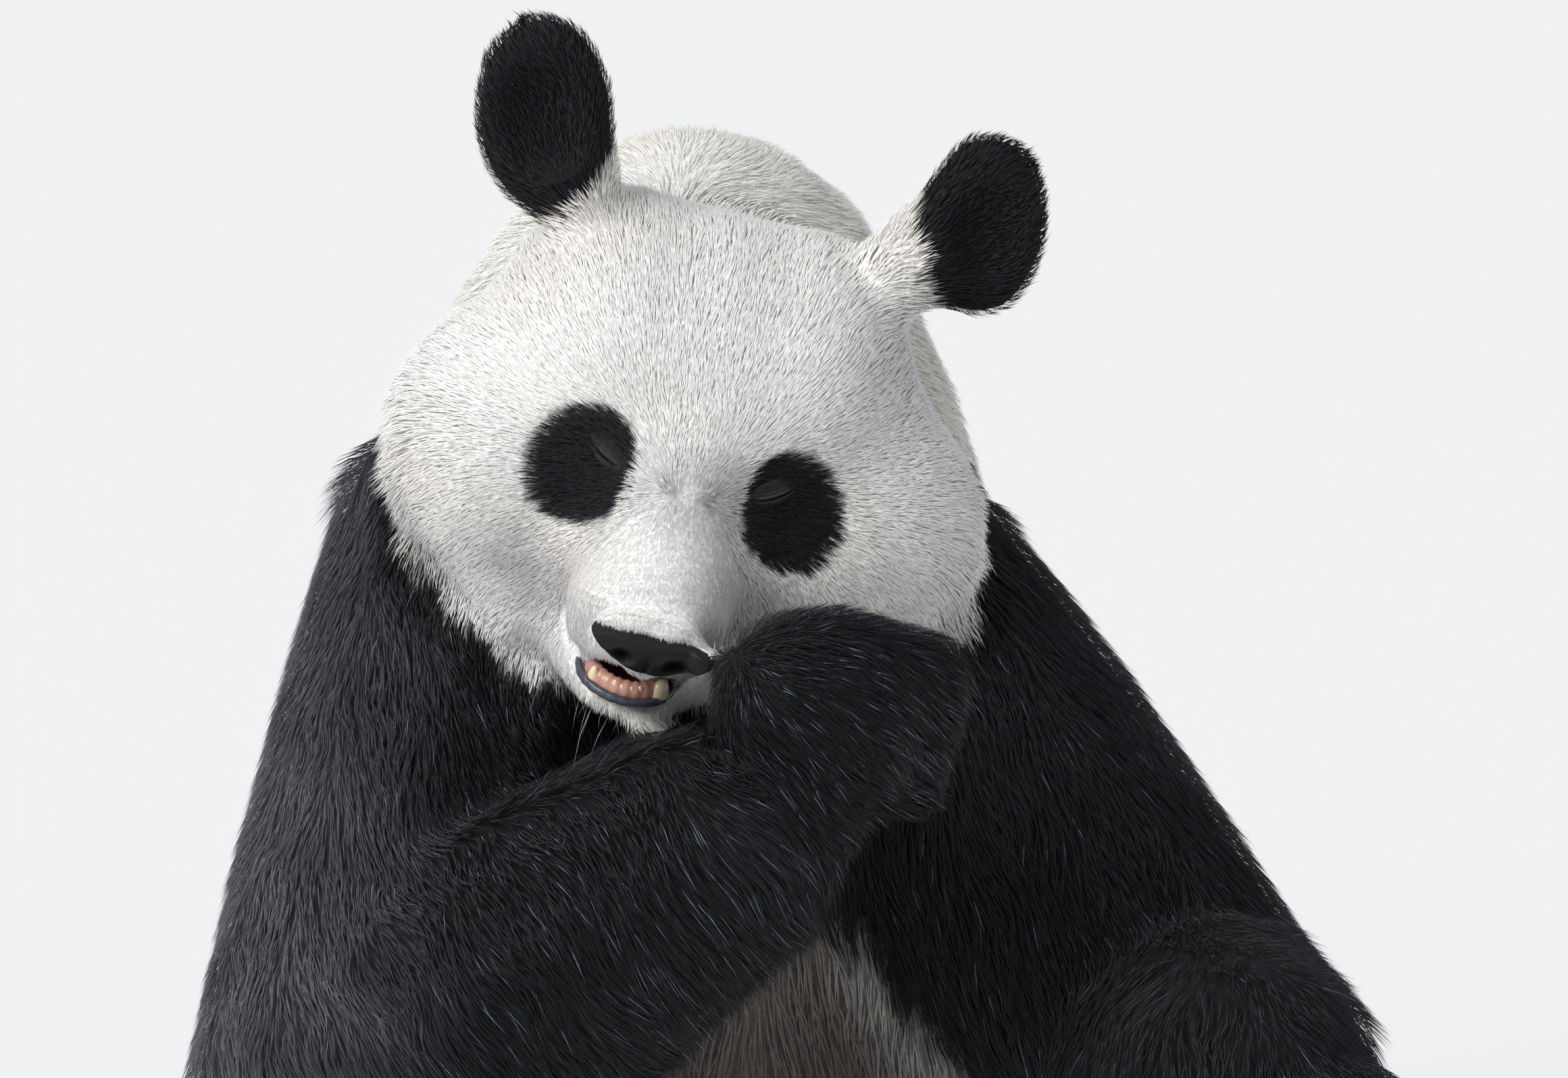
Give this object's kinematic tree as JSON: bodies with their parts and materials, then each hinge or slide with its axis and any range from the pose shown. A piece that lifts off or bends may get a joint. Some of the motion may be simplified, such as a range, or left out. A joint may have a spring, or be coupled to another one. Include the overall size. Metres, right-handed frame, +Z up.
{
  "type": "giant panda, still life-size model",
  "caption": "Life-size sitting giant panda, eyes closed, one front paw held to its mouth and the other arm resting on a raised knee.",
  "frame": {"origin": "on the floor, under the middle of the whole animal's box", "axes": "+Z up; the panda faces -Y; +X is towards its own left side"},
  "size_m": [0.758, 0.8402, 0.9924],
  "materials": {
    "white_fur": "dense matt fur, off-white",
    "belly_fur": "long soiled fur, grey-brown in front and off-white behind",
    "black_fur": "coarse black fur with a brown cast and a few pale guard hairs",
    "bare_skin": "dark bare skin of lids, lips and soles",
    "nose_skin": "moist pebbled nose pad",
    "claw": "dark horn, smooth with fine ridges",
    "tooth": "ivory teeth in pink gum"
  },
  "bodies": {
    "root": {"head": "white_fur", "lower_jaw": "white_fur", "nose": "nose_skin", "lower_teeth": "tooth", "ear_left": "black_fur", "eye_left": "bare_skin", "ear_right": "black_fur", "eye_right": "bare_skin", "neck": "white_fur", "chest": "black_fur", "belly": "belly_fur", "rump": "white_fur", "tail": "white_fur", "upper_arm_left": "black_fur", "forearm_left": "black_fur", "hand_left": "black_fur", "pad_hand_left": "bare_skin", "claw_hand_left_1": "claw", "claw_hand_left_2": "claw", "claw_hand_left_3": "claw", "claw_hand_left_4": "claw", "claw_hand_left_5": "claw", "thigh_left": "black_fur", "shank_left": "black_fur", "hind_foot_left": "black_fur", "pad_hind_foot_left": "bare_skin", "claw_hind_foot_left_1": "claw", "claw_hind_foot_left_2": "claw", "claw_hind_foot_left_3": "claw", "claw_hind_foot_left_4": "claw", "claw_hind_foot_left_5": "claw", "upper_arm_right": "black_fur", "forearm_right": "black_fur", "hand_right": "black_fur", "pad_hand_right": "bare_skin", "claw_hand_right_1": "claw", "claw_hand_right_2": "claw", "claw_hand_right_3": "claw", "claw_hand_right_4": "claw", "claw_hand_right_5": "claw", "thigh_right": "black_fur", "shank_right": "black_fur", "hind_foot_right": "black_fur", "pad_hind_foot_right": "bare_skin", "claw_hind_foot_right_1": "claw", "claw_hind_foot_right_2": "claw", "claw_hind_foot_right_3": "claw", "claw_hind_foot_right_4": "claw", "claw_hind_foot_right_5": "claw"}
  },
  "joints": []
}
